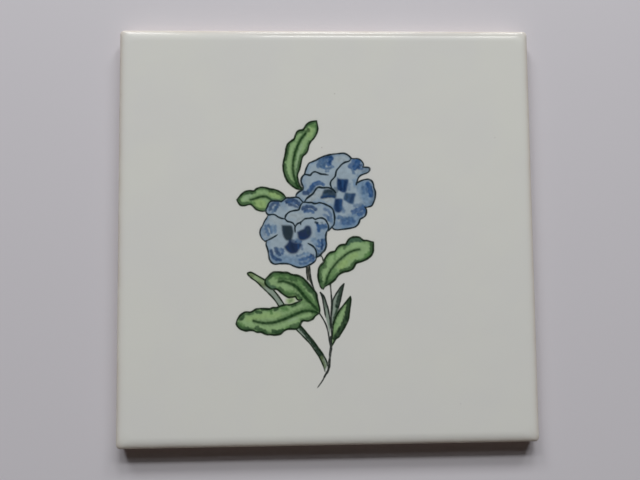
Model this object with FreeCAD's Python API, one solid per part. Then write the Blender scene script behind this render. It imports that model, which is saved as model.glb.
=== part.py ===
import FreeCAD, Part
import math
import os

# Azulejo: a square wall tile of pressed clay, glazed on its face and fired as one piece.
#
# The origin is at the centre of the back, on the plane of the rib crests. +Z points out of the glazed
# face, +Y points up the painted picture, and the ribs run along X. All sizes are in millimetres.
#
# From the face down, the tile has a flat top, a cushion edge shaped as a quarter of an ellipse, an
# upright land where it meets its neighbours, a drafted side that let it leave the press, and a back
# keyed with ribs that the mortar grips.

# Outline of the tile, seen from the face
side = 200.0
corner_radius = 2.0

# Heights above the rib crests
thickness = 8.0
rib_height = 1.0

# Cushion edge: how far in it reaches, how far it drops, and how much rounder its corners are on top
cushion_width = 5.5
cushion_drop = 1.5
cushion_corner_gain = 2.0
cushion_sections = 13

# Upright land below the cushion, and the pressed side below that
land_height = 2.5
draft_angle = 8.0
back_edge_radius = 0.4

# Keying ribs on the back
rib_width = 5.0
rib_pitch = 12.0
rib_margin = 8.0
rib_flank_angle = 20.0
rib_crest_bevel = 0.25

# Worked out from the sizes above
land_top = thickness - cushion_drop
land_bottom = land_top - land_height
draft_inset = (land_bottom - rib_height) * math.tan(math.radians(draft_angle))
back_side = side - 2.0 * draft_inset
rib_length = back_side - 2.0 * rib_margin
rib_count = int((rib_length - rib_width) / rib_pitch) + 1
flank_inset = rib_height * math.tan(math.radians(rib_flank_angle))


def arc(centre_x, centre_y, height, radius, start_angle, sweep):
    """A level arc round a centre, from its start angle over its sweep, both in degrees."""
    points = []
    for share in (0.0, 0.5, 1.0):
        angle = math.radians(start_angle + share * sweep)
        x = centre_x + radius * math.cos(angle)
        y = centre_y + radius * math.sin(angle)
        points.append(FreeCAD.Vector(x, y, height))
    return Part.Arc(*points).toShape()


def closed_outline(arcs):
    """A closed wire of arcs taken in turn, each joined to the next by a straight edge."""
    edges = []
    for number, this_arc in enumerate(arcs):
        next_arc = arcs[(number + 1) % len(arcs)]
        line = Part.LineSegment(this_arc.lastVertex().Point, next_arc.firstVertex().Point)
        edges.append(this_arc)
        edges.append(line.toShape())
    return Part.Wire(edges)


def rounded_square(width, radius, height):
    """The outline of the tile at one height: a square with its corners rounded."""
    reach = width / 2.0 - radius
    corners = [(reach, reach), (-reach, reach), (-reach, -reach), (reach, -reach)]
    arcs = [arc(x, y, height, radius, 90.0 * turn, 90.0) for turn, (x, y) in enumerate(corners)]
    return closed_outline(arcs)


def slot(length, width, height):
    """The outline of a rib at one height: a bar along X with half-round ends."""
    radius = width / 2.0
    reach = length / 2.0 - radius
    ends = [arc(reach, 0.0, height, radius, -90.0, 180.0), arc(-reach, 0.0, height, radius, 90.0, 180.0)]
    return closed_outline(ends)


def edges_at(shape, height):
    """The edges of a shape that lie level at one height."""
    return [edge for edge in shape.Edges
            if abs(edge.BoundBox.ZMin - height) < 1e-6 and abs(edge.BoundBox.ZMax - height) < 1e-6]


def cushion():
    """The top of the tile, lofted from the land up a quarter of an ellipse to the flat face."""
    outlines = []
    for number in range(cushion_sections):
        angle = math.pi / 2.0 * number / (cushion_sections - 1)
        share = 1.0 - math.cos(angle)
        width = side - 2.0 * cushion_width * share
        radius = corner_radius + cushion_corner_gain * share
        outlines.append(rounded_square(width, radius, land_top + cushion_drop * math.sin(angle)))
    return Part.makeLoft(outlines, True, False)


def land():
    """The upright band round the tile, its widest part, that faces the joint."""
    outline = rounded_square(side, corner_radius, land_bottom)
    return Part.Face(outline).extrude(FreeCAD.Vector(0.0, 0.0, land_height))


def pressed_base():
    """The lower part of the tile, drafted in towards the back, with the back's own edge rounded."""
    back_outline = rounded_square(back_side, corner_radius, rib_height)
    land_outline = rounded_square(side, corner_radius, land_bottom)
    base = Part.makeLoft([back_outline, land_outline], True, True)
    return base.makeFillet(back_edge_radius, edges_at(base, rib_height))


def rib(place_y):
    """One keying rib: half-round ends, sloping flanks and a small bevel round its crest."""
    crest = slot(rib_length - 2.0 * flank_inset, rib_width - 2.0 * flank_inset, 0.0)
    root = slot(rib_length, rib_width, rib_height)
    bar = Part.makeLoft([crest, root], True, True)
    bar = bar.makeChamfer(rib_crest_bevel, edges_at(bar, 0.0))
    bar.translate(FreeCAD.Vector(0.0, place_y, 0.0))
    return bar


def tile():
    """The whole tile as one solid, with its ribs spread evenly about the middle of the back."""
    first_place = -rib_pitch * (rib_count - 1) / 2.0
    ribs = [rib(first_place + rib_pitch * number) for number in range(rib_count)]
    return cushion().fuse([land(), pressed_base()] + ribs).removeSplitter()


def main():
    os.makedirs("parts", exist_ok=True)
    shape = tile()
    print("solids", len(shape.Solids), "valid", shape.isValid(), "faces", len(shape.Faces))
    print("volume in ml", round(shape.Volume / 1000.0, 2), "ribs", rib_count, shape.BoundBox)
    shape.Solids[0].exportStep("parts/tile.step")


main()
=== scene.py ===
# %% [markdown]
# # A painted azulejo
# This lesson dresses a square wall tile of pressed clay. Its shape is already right in the packed
# model, so the work is on the surface: a soft cushion edge that catches the window, a cream glaze
# that thins at the rim, a sprig of blue pansies drawn with ink lines and watery colour, and bare
# clay underneath. The tile's sizes are written in millimetres, and `MM` turns them into metres.

# %% Load the frame
import math

import bmesh
import bpy
import numpy as np
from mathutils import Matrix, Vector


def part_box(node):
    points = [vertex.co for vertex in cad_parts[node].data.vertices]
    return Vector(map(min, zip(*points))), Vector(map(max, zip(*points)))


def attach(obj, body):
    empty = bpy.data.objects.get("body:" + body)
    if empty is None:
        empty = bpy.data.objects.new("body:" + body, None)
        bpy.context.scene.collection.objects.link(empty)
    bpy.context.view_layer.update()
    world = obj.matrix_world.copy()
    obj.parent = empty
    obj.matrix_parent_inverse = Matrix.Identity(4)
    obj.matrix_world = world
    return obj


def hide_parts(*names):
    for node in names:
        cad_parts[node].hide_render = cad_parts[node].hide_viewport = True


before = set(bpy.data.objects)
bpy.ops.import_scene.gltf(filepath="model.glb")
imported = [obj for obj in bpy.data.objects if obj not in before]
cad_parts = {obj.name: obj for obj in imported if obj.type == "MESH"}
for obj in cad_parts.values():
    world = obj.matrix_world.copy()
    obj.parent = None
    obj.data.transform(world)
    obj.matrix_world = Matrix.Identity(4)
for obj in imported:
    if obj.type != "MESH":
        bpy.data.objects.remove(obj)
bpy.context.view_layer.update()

MM = 0.001
high_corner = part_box("tile")[1]
half_side = high_corner.x / MM
face_height = high_corner.z / MM
print("tile is", round(2 * half_side, 2), "mm wide and", round(face_height, 2), "mm thick")

# %% [markdown]
# ## The camera
# The photographer held the camera by hand, a little below the middle of the tile and almost
# straight above it. Its place was worked out from the four corners of the tile: it stands about
# 30 cm up, and it leans by three degrees, which is why the bottom edge looks longer than the top.

# %% Camera
# The place is in millimetres and the turn in degrees.
camera_place = (-13.2, -20.9, 299.6)
camera_turn = (3.53, -1.82, -0.56)
bpy.ops.object.camera_add(
    location=[MM * value for value in camera_place],
    rotation=[math.radians(angle) for angle in camera_turn],
)
camera = bpy.context.object
camera.data.sensor_width = 36.0
camera.data.lens = 34.3
camera.data.clip_start = 0.01
bpy.context.scene.camera = camera
print("camera:", round(camera_place[2] - face_height), "mm above the face")

# %% [markdown]
# ## Window light
# A window lights the tile from beyond its top edge. It is low, so the 8 mm edge throws a dark
# shadow below the tile. The shadow's soft steps tell what the window looks like: two bright rows
# of panes with a dim bar between them, and a little light from above. Two posts between the panes
# break the bright line along the rim. Each pane is a flat lamp of its own, because one large lamp
# would lose these steps.

# %% Window
def add_lamp(left, right, bottom, top, wall, brightness):
    """A flat upright lamp at a wall beyond (+) or before (-) the tile, facing it. Sizes in metres."""
    bpy.ops.object.light_add(
        type="AREA",
        location=((left + right) / 2.0, wall, (bottom + top) / 2.0),
        rotation=(math.copysign(math.pi / 2.0, -wall), 0.0, 0.0),
    )
    lamp = bpy.context.object
    lamp.visible_camera = False
    lamp.data.shape = "RECTANGLE"
    lamp.data.size = right - left
    lamp.data.size_y = top - bottom
    lamp.data.energy = brightness * math.pi * (right - left) * (top - bottom)
    return lamp


# A pane has a left and a right side. A row of panes has a bottom, a top and a brightness.
window_wall = 2.2
pane_sides = ((-1.33, -0.60), (-0.23, 0.49), (0.81, 1.40))
pane_rows = ((0.91, 1.31, 20.0), (1.31, 1.62, 3.2), (1.62, 1.99, 20.0), (2.25, 2.75, 2.9))
for pane_left, pane_right in pane_sides:
    for pane_bottom, pane_top, brightness in pane_rows:
        add_lamp(pane_left, pane_right, pane_bottom, pane_top, window_wall, brightness)
print("window lamps:", len(pane_sides) * len(pane_rows))

# %% [markdown]
# ## Room and table
# The room around the tile adds very little light, and what it adds is warm. A low lamp before the
# tile stands for its brightest part, and the world fills in the rest. The table is a plain floor.
# It is scenery for the picture and no part of the tile, so it is staged.

# %% Room and table
room_glow = add_lamp(left=-0.6, right=0.6, bottom=0.02, top=0.16, wall=-1.6, brightness=4.0)
room_glow.data.color = (1.0, 0.84, 0.74)

room_colour = (1.0, 0.78, 0.66, 1.0)
room_strength = 0.026
world = bpy.data.worlds.new("room")
world.use_nodes = True
world.node_tree.nodes["Background"].inputs["Color"].default_value = room_colour
world.node_tree.nodes["Background"].inputs["Strength"].default_value = room_strength
bpy.context.scene.world = world
bpy.context.scene.view_settings.view_transform = "Standard"

bpy.ops.mesh.primitive_plane_add(size=6.0)
floor = bpy.context.object
floor.name = "floor"
print("floor:", round(floor.dimensions.x), "metres wide")

# %% [markdown]
# ## A curve through a few points
# The sprig is painted by hand on the raw glaze, so nothing in it is straight or quite even. A mark
# could be a bezier curve, but a list of points is quicker to write down and to read. The points
# are in millimetres from the middle of the tile. A smooth curve joins them, and two values place
# and size the sprig as a whole.

# %% Marks
sprig_place = np.array([0.19, -0.05])
sprig_size = 1.0022


def curve(points, step=0.6):
    """A smooth line through a few points, cut into short straight runs."""
    dots = sprig_place + sprig_size * np.array(points, float)
    if len(dots) < 3:
        return dots
    padded = np.vstack([2 * dots[0] - dots[1], dots, 2 * dots[-1] - dots[-2]])
    runs = []
    for before, start, end, after in zip(padded, padded[1:], padded[2:], padded[3:]):
        count = max(2, int(np.linalg.norm(end - start) / step) + 1)
        t = np.linspace(0.0, 1.0, count, endpoint=False)[:, None]
        bend = (end - before) * t + (2 * before - 5 * start + 4 * end - after) * t ** 2
        runs.append(start + 0.5 * (bend + (3 * start - before - 3 * end + after) * t ** 3))
    return np.vstack(runs + [dots[-1:]])


sample = curve([(0, 0), (10, 4), (20, 0)])
print("a curve through 3 points is cut into", len(sample) - 1, "short runs")

# %% [markdown]
# ## Three kinds of mark
# A wash is a closed outline filled with thin colour, a dab is a loaded brush set down and pulled a
# little way, and a line is drawn last with a fine brush. All marks go into one list, in painting
# order, and nothing is painted yet. The width of a line swells and thins like a hand's pressure,
# and two slow waves along it are enough for that.

# %% Kinds of mark
marks = []
ink_spread = 1.12


def wash(outline, colour, strength=0.97, soft=0.5, pool=None):
    """Thin colour over a closed outline of one or more curves, which may pool darker along its rim."""
    edge = np.vstack([curve(part) for part in outline])
    marks.append({"kind": "wash", "path": edge, "colour": colour, "strength": strength, "soft": soft,
                  "pool": pool})
    return edge


def dab(points, width, colour, strength=0.9, soft=0.55, within=None, rough=1.0):
    """A short broad mark of the brush, with one width or several, which an outline may cut off."""
    path = curve(points)
    along = np.linspace(0, 1, len(path))
    widths = np.interp(along, np.linspace(0, 1, np.size(width)), np.atleast_1d(width))
    marks.append({"kind": "dab", "path": path, "widths": widths, "colour": colour,
                  "strength": strength, "soft": soft, "within": within, "rough": rough})


def line(points, width, colour, start=0.6, end=0.6):
    """A fine drawn line. Its width swells and thins a little, and tapers towards both ends."""
    path = curve(points)
    lengths = np.concatenate([[0.0], np.cumsum(np.linalg.norm(np.diff(path, axis=0), axis=1))])
    share = lengths / lengths[-1]
    swell = 1.0 + 0.13 * np.sin(0.9 * lengths + path[0].sum()) + 0.07 * np.sin(2.3 * lengths + path[0, 0])
    taper = np.interp(share, [0.0, 0.12, 0.88, 1.0], [start, 1.0, 1.0, end])
    widths = ink_spread * width * swell * taper
    marks.append({"kind": "line", "path": path, "widths": widths, "colour": colour})


print("ink lines spread to", ink_spread, "of their drawn width")

# %% [markdown]
# ## The paints
# Cobalt gives every blue, from a pale wash to nearly black where the brush was full. Copper gives
# the greens, and the lines are manganese and cobalt mixed, bluer on the petals and greener on the
# leaves. The three numbers are how the paint looks beside the glaze.

# %% Paints
def paint(red, green, blue):
    """A paint as it looks beside the glaze in the window's light, made into its own linear colour."""
    light_gain = 1.63
    seen = np.array([red, green, blue]) / 255.0
    return light_gain * np.where(seen < 0.04045, seen / 12.92, ((seen + 0.055) / 1.055) ** 2.4)


petal_pale = paint(132, 148, 159)
petal_grey = paint(140, 151, 156)
petal_blue = paint(92, 118, 144)
blue_light = paint(52, 82, 116)
blue_mid = paint(34, 70, 114)
blue_deep = paint(20, 50, 88)
blotch_blue = paint(44, 70, 100)
indigo = paint(11, 31, 65)
green_black = paint(20, 34, 43)
slate = paint(37, 53, 67)
leaf_light = paint(121, 151, 105)
leaf_yellow = paint(126, 153, 97)
leaf_pale = paint(128, 153, 122)
leaf_mid = paint(73, 108, 63)
leaf_olive = paint(92, 106, 74)
leaf_shade = paint(36, 62, 39)
leaf_teal = paint(44, 71, 61)
rib_green = paint(22, 50, 24)
grey_green = paint(117, 131, 120)
green_deep = paint(18, 38, 27)
stalk_brown = paint(90, 88, 78)
petal_ink = paint(17, 31, 37)
leaf_ink = paint(17, 34, 17)
stem_ink = paint(28, 36, 32)
print("the darkest blue is", indigo.round(3), "and the palest", petal_pale.round(3))

# %% [markdown]
# ## The midrib of a leaf
# All leaves but the narrow ones have a midrib. It is one pull of a full brush, with a paler shade
# on both sides where the water ran out of it. Two dabs along the same points do that: a wide and
# weak one first, and then a narrow and strong one. A second helper tells what was painted.

# %% Midrib
def midrib(points, width, leaf):
    """A leaf's midrib: a soft shade on both sides of a dark stroke with smooth edges."""
    dab(points, 1.8 * np.array(width), leaf_shade, strength=0.36, soft=1.3, within=leaf)
    dab(points, 0.84 * np.array(width), rib_green, strength=0.95, soft=0.8, within=leaf, rough=0.35)


def report(name, outline):
    """Prints how large a painted outline is, and how many marks the list holds by now."""
    width, height = np.ptp(outline, axis=0)
    print(name, "is", round(width, 1), "x", round(height, 1), "mm, marks so far:", len(marks))


# %% [markdown]
# ## The upper leaf behind the blooms
# Each leaf starts as one light green wash. A darker band is then brushed along its wavy rim, more
# in some places than in others, and a dark midrib is drawn from the stalk. The bands are broad
# dabs that run along the outline and are cut off by it, as a painter stops at the line.

# %% Upper leaf
upper_left = [(-5, 54.9), (-7, 54.6), (-8.8, 54), (-10.2, 52.7), (-11.2, 51), (-12, 50.4), (-13.4, 50.2),
              (-14.6, 49.4), (-15.3, 47.9), (-15.9, 46.1), (-17.5, 44.9), (-19.1, 43.5), (-19.8, 41.4),
              (-20.1, 39.2), (-21.1, 34.7), (-21.1, 30.2), (-19, 25.1), (-15.1, 21.9), (-12, 21.5)]
upper_right = [(-12, 21.5), (-13.4, 23.2), (-14.4, 26.8), (-14.4, 28.9), (-13.5, 31.2), (-12.4, 35.9),
               (-11.8, 37.6), (-10.5, 38.8), (-9.5, 40.2), (-8.9, 42.6), (-8.1, 44.5), (-6.5, 46.3),
               (-5.3, 48.1), (-4.5, 51), (-5, 54.9)]
leaf = wash([upper_left, upper_right], leaf_light, pool=leaf_mid)
dab([(-7.4, 51.6), (-8.6, 48)], 2.6, leaf_yellow, 0.5, 1.2, leaf)
dab([(-8.4, 53.2), (-6, 52.4)], 2.4, leaf_mid, 0.8, 1.0, leaf)
dab([(-12.4, 43), (-14.2, 38), (-14.9, 33), (-15.1, 28.5)], 1.2, leaf_pale, 0.6, 0.6, leaf)
dab([(-19.4, 43), (-20.1, 39.5), (-20.7, 36.6)], 2.9, leaf_shade, 0.85, 0.6, leaf)
dab([(-21.2, 33), (-20.8, 29.5), (-19, 25.8), (-16.5, 23.3), (-13.4, 21.9)], 3.0, leaf_shade, 0.75, 0.9, leaf)
dab([(-10.6, 52.2), (-8.8, 53.9), (-6.2, 54.6)], 2.2, leaf_shade, 0.75, 0.6, leaf)
dab([(-15, 48.8), (-13.6, 49.6), (-11.8, 50)], 1.9, leaf_shade, 0.7, 0.5, leaf)
dab([(-16.4, 45.4), (-18.6, 43.8)], 1.6, leaf_shade, 0.6, 0.5, leaf)
dab([(-8.3, 44.4), (-9.2, 41.6), (-10.8, 38.9)], 2.2, leaf_shade, 0.7, 0.6, leaf)
dab([(-12.2, 37.6), (-13.2, 34), (-14.3, 29.8), (-13.8, 25.4)], (2.3, 2.2, 1.9, 2.3), leaf_shade,
    0.75, 0.6, leaf)
dab([(-4.6, 53.5), (-4.6, 50), (-5.8, 47.2)], 1.9, leaf_shade, 0.65, 0.6, leaf)
dab([(-9, 50.3), (-10.3, 49.2)], (2.1, 1.4), rib_green, 0.75, 0.8, leaf)
dab([(-10.6, 48.6), (-12.6, 46), (-14.2, 42.8), (-15.4, 39.3), (-15.8, 36)], 1.7, leaf_mid, 0.7, 0.8, leaf)
midrib([(-10.6, 48.6), (-12.6, 46), (-14.2, 42.8), (-15.6, 39.3), (-16.4, 35.4), (-16.6, 31), (-16, 27.4),
        (-14.9, 24.2), (-14, 22.6)], 1.4, leaf)
line(upper_left, 0.72, leaf_ink)
line(upper_right, 0.62, leaf_ink, 1.2)
report("upper leaf", leaf)

# %% [markdown]
# ## The left leaf behind the blooms
# The second leaf is mostly light, with two warm yellow places where the copper is thin. The bloom
# in front hides its foot, so only its upper and lower rims get an ink line, and the hidden side
# closes the wash without one.

# %% Left leaf
left_top = [(-43.6, 16.6), (-42.5, 17.9), (-41.3, 19.2), (-39.7, 20.5), (-37.6, 21), (-35.5, 20.8),
            (-34.7, 21.4), (-33.9, 22), (-32.1, 22.6), (-29.9, 22.4), (-27.8, 21.8), (-25.3, 21.4),
            (-23.2, 20.5), (-21.3, 19.1), (-19.9, 17.4)]
left_bottom = [(-43.6, 16.6), (-42.8, 15.1), (-41.7, 14), (-39.9, 13.8), (-37.9, 14.3), (-36.7, 14.2),
               (-35.5, 13.1), (-34.4, 12), (-32.8, 11.3), (-30.9, 11), (-29.4, 11.3)]
left_hidden = [(-19.9, 17.4), (-22.4, 15.6), (-25.8, 16), (-28.1, 15), (-29.4, 11.3)]
leaf = wash([left_top, left_hidden, left_bottom[::-1]], leaf_light, pool=leaf_mid)
dab([(-33.6, 15), (-31.6, 14)], 4.6, leaf_yellow, 0.8, 1.6, leaf)
dab([(-27, 19.4), (-23.6, 18.4)], 3.0, leaf_yellow, 0.7, 1.4, leaf)
dab([(-36.4, 15.2), (-35.2, 14.8)], 1.4, leaf_mid, 0.7, 1.0, leaf)
dab([(-39.6, 17.2), (-37.4, 18.8)], 2.4, leaf_pale, 0.7, 1.2, leaf)
dab([(-42.8, 17.6), (-41, 19.6), (-38, 20.8), (-35.6, 20.6)], 2.6, leaf_shade, 0.75, 0.7, leaf)
dab([(-39, 19.9), (-36.4, 19.6)], 1.2, leaf_shade, 0.7, 0.6, leaf)
dab([(-34.4, 21.8), (-30.5, 22.2), (-27, 21.3)], 1.5, leaf_shade, 0.6, 0.6, leaf)
dab([(-27.4, 21.1), (-24.4, 20.5), (-20.8, 18)], 2.2, leaf_shade, 0.75, 0.8, leaf)
dab([(-43.2, 15.8), (-41, 14.4), (-38.2, 14.6)], 2.4, leaf_shade, 0.75, 0.7, leaf)
dab([(-36.6, 14.3), (-34.6, 12.5), (-31.6, 11.6), (-29.8, 11.7)], 1.8, leaf_shade, 0.62, 0.7, leaf)
dab([(-26.4, 16.6), (-23.4, 16.3), (-21.2, 17.2)], 1.3, leaf_shade, 0.6, 0.6, leaf)
midrib([(-37.1, 16.7), (-35.7, 16.9), (-33.9, 17.6), (-31.9, 18.1), (-29.9, 18.1), (-28.3, 17.4),
        (-27.2, 16.5)], (1.1, 1.5, 1.5, 1.2), leaf)
line(left_top, 0.66, leaf_ink)
line(left_bottom, 0.6, leaf_ink)
report("left leaf", leaf)

# %% [markdown]
# ## Petal lines of the bloom behind
# A pansy is five overlapping petals with wavy rims. Neighbouring petals share a line, so each line
# is written once. The bloom's outline is then made of the lines that lie on its outside, and the
# colour and the ink can't drift apart.

# %% Lines of the bloom behind
back_top = [(-11.1, 28.8), (-10.3, 31.4), (-9, 34), (-7.2, 34.9), (-5.4, 35.7), (-3.2, 36.9), (-0.6, 37.9),
            (2.7, 38.5), (5.5, 38.8), (8.2, 38.9), (10.3, 37.8), (11.5, 36.5)]
back_top_hem = [(-11.1, 28.8), (-9.4, 28.5), (-8.4, 28.3), (-7.3, 29.5), (-6.1, 30), (-4.8, 29.6),
                (-3.2, 28.9), (-1.5, 28.7), (0.4, 28.4)]
back_left = [(-11.1, 28.8), (-12.3, 27.4), (-12.8, 25.5), (-12.3, 24), (-11.7, 22.5), (-12.4, 21.2),
             (-14, 20.2), (-15.1, 19), (-15.4, 17.8)]
back_left_hem = [(-11.2, 15.4), (-10.2, 17), (-8.4, 18.4), (-7, 19.5), (-5.9, 21.2), (-5, 22.2), (-4, 22.5),
                 (-2.5, 22.2), (0, 22.3), (1.8, 21.8), (3.1, 20.8), (3.8, 19.8)]
back_fold = [(11.6, 36.4), (10.4, 35.1), (8.4, 34.5), (6.9, 33.5), (5.8, 32.3), (4.4, 30.6), (4, 29.2),
             (3.7, 27.8), (2.7, 26.6), (1.7, 25.5), (1.3, 24.1), (1.6, 22.9), (2.1, 21.9)]
back_lobe = [(11.6, 36.4), (13, 36.3), (14.7, 36.3), (16.2, 35.5), (17.2, 34.2), (17.5, 33.2), (17.1, 32.2)]
back_tongue = [(17.1, 32.2), (18.5, 32.1), (20, 31.9), (20.5, 31.2), (20.1, 30.1), (19, 29.3), (17.3, 28.7),
               (15.8, 28), (14.8, 26.8), (14.2, 25.2), (13.8, 23.7)]
back_right = [(13.9, 24.4), (14.9, 24.9), (16.3, 25.6), (18, 26.1), (19.8, 26.2), (21.3, 25.4), (22.1, 23.8),
              (22.3, 22.2), (22.9, 20.6), (23, 18.8), (22.7, 16.8), (22, 14.9), (21.1, 13.4), (19.7, 12.9),
              (18.1, 12.5)]
back_bottom = [(17.7, 12.9), (18.5, 11.6), (18.5, 10), (17.9, 8.5), (16.7, 7.6), (15.5, 6.9), (15, 5.6),
               (14.3, 4.3), (12.7, 3.1), (10, 2.5), (7, 2.1), (4.4, 1.9), (2.8, 2.2), (1.8, 3.2)]
front_crown = [(-12, 15.2), (-11, 15.3), (-9.4, 15.1), (-7.8, 15.1), (-6.5, 14.6), (-5.2, 14.7), (-4, 15),
               (-1.9, 14.5), (-0.2, 13.7), (1.4, 12.8), (2.4, 11.6), (2.9, 9.9), (3.2, 8), (3.1, 6),
               (2.8, 4.4), (1.8, 3.2)]
print("the right petal's line has", len(back_right), "points")

# %% [markdown]
# ## Petals of the bloom behind
# The petals are one pale wash, bluer where it pools at the rim and greyer near the middle. Each
# petal then gets one or two curved strokes of stronger blue, which follow its rim. They are short
# dabs with a soft edge, and the bloom's outline cuts them off.

# %% Petals of the bloom behind
bloom = wash([back_top, back_lobe, back_tongue, back_right, back_bottom, front_crown[::-1], back_left[::-1]],
             petal_pale, pool=petal_blue)
dab([(9, 4.6), (14, 7.6)], 6.5, petal_blue, 0.75, 3.0, bloom)
dab([(16.4, 22.4), (19.6, 15.4)], 5.5, petal_blue, 0.7, 3.0, bloom)
dab([(18, 23.4), (18.2, 18)], 4.2, petal_blue, 0.55, 1.6, bloom)
dab([(4.6, 4.6), (7.4, 3.6)], 2.4, petal_blue, 0.6, 1.6, bloom)
dab([(-8.4, 16.8), (-4.6, 19.6), (0.6, 16.2)], 3.6, petal_grey, 0.8, 1.6, bloom)
dab([(2.8, 24.4), (3.4, 26)], 1.8, petal_grey, 0.7, 1.0, bloom)
dab([(4.8, 36), (9, 36.6)], 3.4, petal_grey, 0.6, 1.6, bloom)
dab([(17.6, 30.4), (19.6, 31)], 2.2, slate, 0.35, 1.4, bloom)
dab([(-4.3, 32.9), (-3.6, 34.6), (-2.6, 36.2)], 2.3, blue_light, 0.85, 0.9, bloom)
dab([(-2.2, 32.6), (-1.2, 34.8), (0, 36.8)], 2.5, blue_light, 0.9, 0.9, bloom)
dab([(0.8, 33.6), (1.2, 34.8), (1.9, 36.8)], 2.2, blue_mid, 0.95, 0.8, bloom)
dab([(12.6, 25.8), (12.9, 23.6)], 1.4, petal_blue, 0.6, 1.0, bloom)
dab([(1.2, 34), (2, 36.6)], 1.0, blue_deep, 0.6, 0.8, bloom)
dab([(-1.4, 37), (1.6, 37.4)], 1.2, blue_deep, 0.7, 0.8, bloom)
dab([(-1.6, 31.9), (0.2, 31.5), (2.6, 32.5)], 1.4, blue_light, 0.8, 0.8, bloom)
dab([(-0.7, 30.1), (0.4, 30.4)], 1.0, blue_light, 0.7, 0.7, bloom)
dab([(-11.2, 19.8), (-9.7, 19.8)], 2.3, blue_deep, 0.9, 0.8, bloom)
dab([(-8.5, 21.2), (-7.3, 22.8), (-5.6, 24.1), (-3.4, 24.4), (-2, 23.6)], (2.4, 2.2, 1.6), blue_mid,
    0.85, 0.8, bloom)
dab([(-8, 21.4), (-6.6, 23)], 1.4, blue_deep, 0.5, 1.0, bloom)
dab([(-8.2, 22.9), (-6.4, 24.7), (-3.8, 25.4)], 1.0, blue_mid, 0.7, 0.8, bloom)
dab([(10.9, 32.6), (12.2, 33.4), (12.9, 35)], 2.4, blue_mid, 0.8, 0.8, bloom)
dab([(13.2, 31.9), (14.4, 33.4), (14.7, 35.2)], 2.6, blue_mid, 0.95, 0.8, bloom)
dab([(14.6, 31.7), (16.2, 33)], 1.5, blue_deep, 0.8, 0.7, bloom)
dab([(12, 31.4), (12.7, 29.2)], 1.4, blue_light, 0.75, 0.8, bloom)
dab([(19.4, 24.1), (20.4, 22.2), (20.8, 20), (20.8, 18.4)], 2.3, blue_mid, 0.95, 0.8, bloom)
dab([(18.6, 23.2), (19, 20.2)], 1.4, blue_mid, 0.6, 0.9, bloom)
dab([(17, 22.3), (17.4, 19.6)], 1.4, blue_light, 0.7, 0.9, bloom)
dab([(22.2, 22), (22.3, 17.8), (21.2, 14.4)], 1.6, slate, 0.35, 1.2, bloom)
dab([(12.4, 10.6), (14.8, 11.5), (17.4, 12.5)], 2.5, blue_mid, 0.85, 1.0, bloom)
dab([(14.8, 9.2), (16.6, 9.8), (18, 10.8)], 1.9, blue_mid, 0.8, 0.9, bloom)
dab([(5.2, 7.9), (8.2, 7), (11.4, 7.2)], 2.0, blue_light, 0.85, 1.3, bloom)
dab([(6.8, 5.4), (9.4, 5), (12.2, 5.8)], 2.2, blue_mid, 0.7, 1.4, bloom)
dab([(15.4, 31.3), (16.8, 31.4)], 1.2, blue_mid, 0.7, 0.8, bloom)
dab([(10.4, 24), (10.4, 21.4)], 1.2, blue_light, 0.45, 1.0, bloom)
report("bloom behind", bloom)

# %% [markdown]
# ## Blotches of the bloom behind
# Four dark blotches meet at the centre of the pansy and make its face. Each is a wash with a wide
# soft edge. They aren't all the same blue, and small darker and lighter dabs on them show where the
# brush turned.

# %% Blotches of the bloom behind
blotch_top = [(4.7, 27.3), (5.5, 26.6), (7.5, 26.4), (10, 26.1), (9.6, 23), (8.9, 20.2), (7.3, 19.8),
              (5.8, 20.6), (4.5, 21.4), (4.4, 24.5), (4.7, 27.3)]
blotch_right = [(8.3, 19.8), (10.8, 19.5), (13.5, 19.3), (12.9, 17), (12.3, 14.4), (10.6, 14.4), (8.8, 15.5),
                (7.5, 16.7), (8.3, 19.8)]
blotch_bottom = [(3.4, 16.9), (5.2, 17), (7.1, 16.6), (7, 14), (6.7, 11.2), (5.5, 10.1), (3.9, 10.4),
                 (2.8, 11.7), (2.9, 14.4), (3.4, 16.9)]
blotch_left = [(-1.6, 21.5), (1.2, 21.5), (2.8, 21), (4.1, 19.6), (4.2, 18.2), (3.6, 17.2), (1.2, 17.5),
               (-1, 17.1), (-3.5, 17), (-2.9, 18.4), (-2.5, 20), (-1.6, 21.5)]
wash([blotch_top], blue_deep, 0.95, 1.1)
dab([(5.6, 25.6), (6.4, 21.4)], 1.6, indigo, 0.7, 1.0)
dab([(8.6, 25), (8, 21)], 1.1, indigo, 0.7, 0.9)
dab([(7.2, 25.8), (7.2, 22.6)], 0.6, blue_mid, 0.6, 0.7)
wash([blotch_right], blotch_blue, 0.95, 1.1)
dab([(12.2, 18.6), (11.2, 15.6)], 1.4, indigo, 0.55, 1.1)
dab([(9.2, 19.2), (9, 17)], 0.9, slate, 0.6, 0.9)
wash([blotch_bottom], blue_deep, 0.95, 1.2)
dab([(4.4, 16), (4.6, 11.4)], 1.8, indigo, 0.55, 1.1)
dab([(6.4, 16.2), (6.2, 12.4)], 0.8, blue_mid, 0.5, 0.8)
wash([blotch_left], slate, 0.95, 1.2)
dab([(-3, 17.7), (0.4, 18), (3, 17.8)], 1.2, blue_deep, 0.8, 0.9)
dab([(-1, 19.8), (-0.2, 20.6), (1.6, 20.6)], 1.3, green_black, 0.55, 1.1)
dab([(-2, 18.9), (-0.4, 19)], 1.0, blue_light, 0.45, 1.0)
dab([(3.6, 21.8), (4.4, 20.4)], 1.6, slate, 0.6, 1.0)
dab([(6.8, 12.4), (7.6, 10.8)], 1.8, blue_light, 0.7, 1.1)
dab([(13, 13.4), (16.4, 13.8)], 1.8, blue_light, 0.6, 1.2, bloom)
dab([(-7.6, 20.2), (-6.2, 21.6)], 1.3, blue_light, 0.6, 1.0, bloom)
report("top blotch", np.array(blotch_top))

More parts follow.
